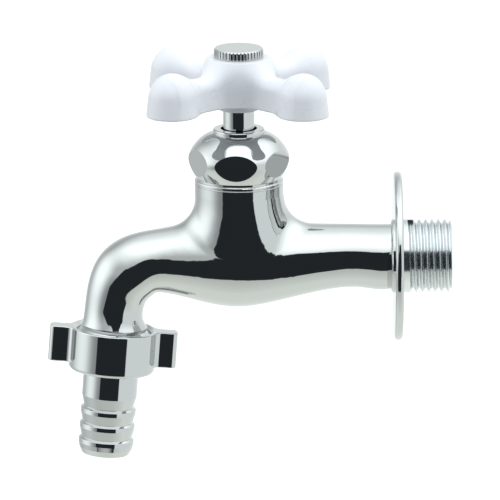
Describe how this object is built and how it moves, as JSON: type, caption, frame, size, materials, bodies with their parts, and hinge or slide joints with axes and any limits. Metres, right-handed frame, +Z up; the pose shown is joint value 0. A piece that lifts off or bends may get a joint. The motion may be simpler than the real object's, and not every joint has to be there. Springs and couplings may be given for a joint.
{
  "type": "wall-mounted tap",
  "caption": "Wall-mounted hose tap with a white cross handle, a down-turned spout with a wing nut and barbed hose tail, and a round wall flange on a threaded inlet.",
  "frame": {"origin": "on the inlet thread's axis, in the plane of the wall where the flange's back face rests", "axes": "+X into the wall along the inlet thread's axis, +Z up along the spindle's axis; the spout and handle are on the -X side"},
  "size_m": [0.1157, 0.0534, 0.1192],
  "materials": {
    "chrome": "polished chrome plate on cast or turned brass",
    "handle_white": "glossy white moulded plastic",
    "brass": "as turned",
    "rubber": "matt black"
  },
  "bodies": {
    "tap_body": {"tap_body": "chrome", "wall_flange": "chrome", "bonnet_nut": "chrome", "packing_seat": "brass", "spindle_packing": "rubber", "packing_follower": "brass"},
    "jumper_valve": {"jumper_valve": "brass", "jumper_washer": "rubber", "jumper_nut": "brass"},
    "spindle": {"spindle": "chrome", "handle_bush": "brass", "cross_handle": "handle_white", "cap_screw": "chrome"},
    "hose_tail": {"hose_tail": "chrome", "hose_gasket": "rubber"},
    "coupling_nut": {"coupling_nut": "chrome"}
  },
  "joints": [
    {"name": "valve_lift", "type": "slide", "parent": "tap_body", "child": "jumper_valve", "axis": [0, 0, 1], "range_m": [0, 0.00625]},
    {"name": "handle_turn", "type": "hinge", "parent": "jumper_valve", "child": "spindle", "pos_m": [-0.04655, 0, 0], "axis": [0, 0, 1], "range_deg": [0, 900.5]},
    {"name": "coupling_drop", "type": "slide", "parent": "tap_body", "child": "hose_tail", "axis": [-0.075, 0, -0.9972], "range_m": [0, 0.00544]},
    {"name": "coupling_turn", "type": "hinge", "parent": "hose_tail", "child": "coupling_nut", "pos_m": [-0.08245, 0, -0.02062], "axis": [-0.075, 0, -0.9972], "range_deg": [0, 1080]}
  ],
  "couplings": [
    {"joint": "handle_turn", "follows": "valve_lift", "rad_per_m": 2513.3},
    {"joint": "coupling_turn", "follows": "coupling_drop", "rad_per_m": 3463.2}
  ]
}
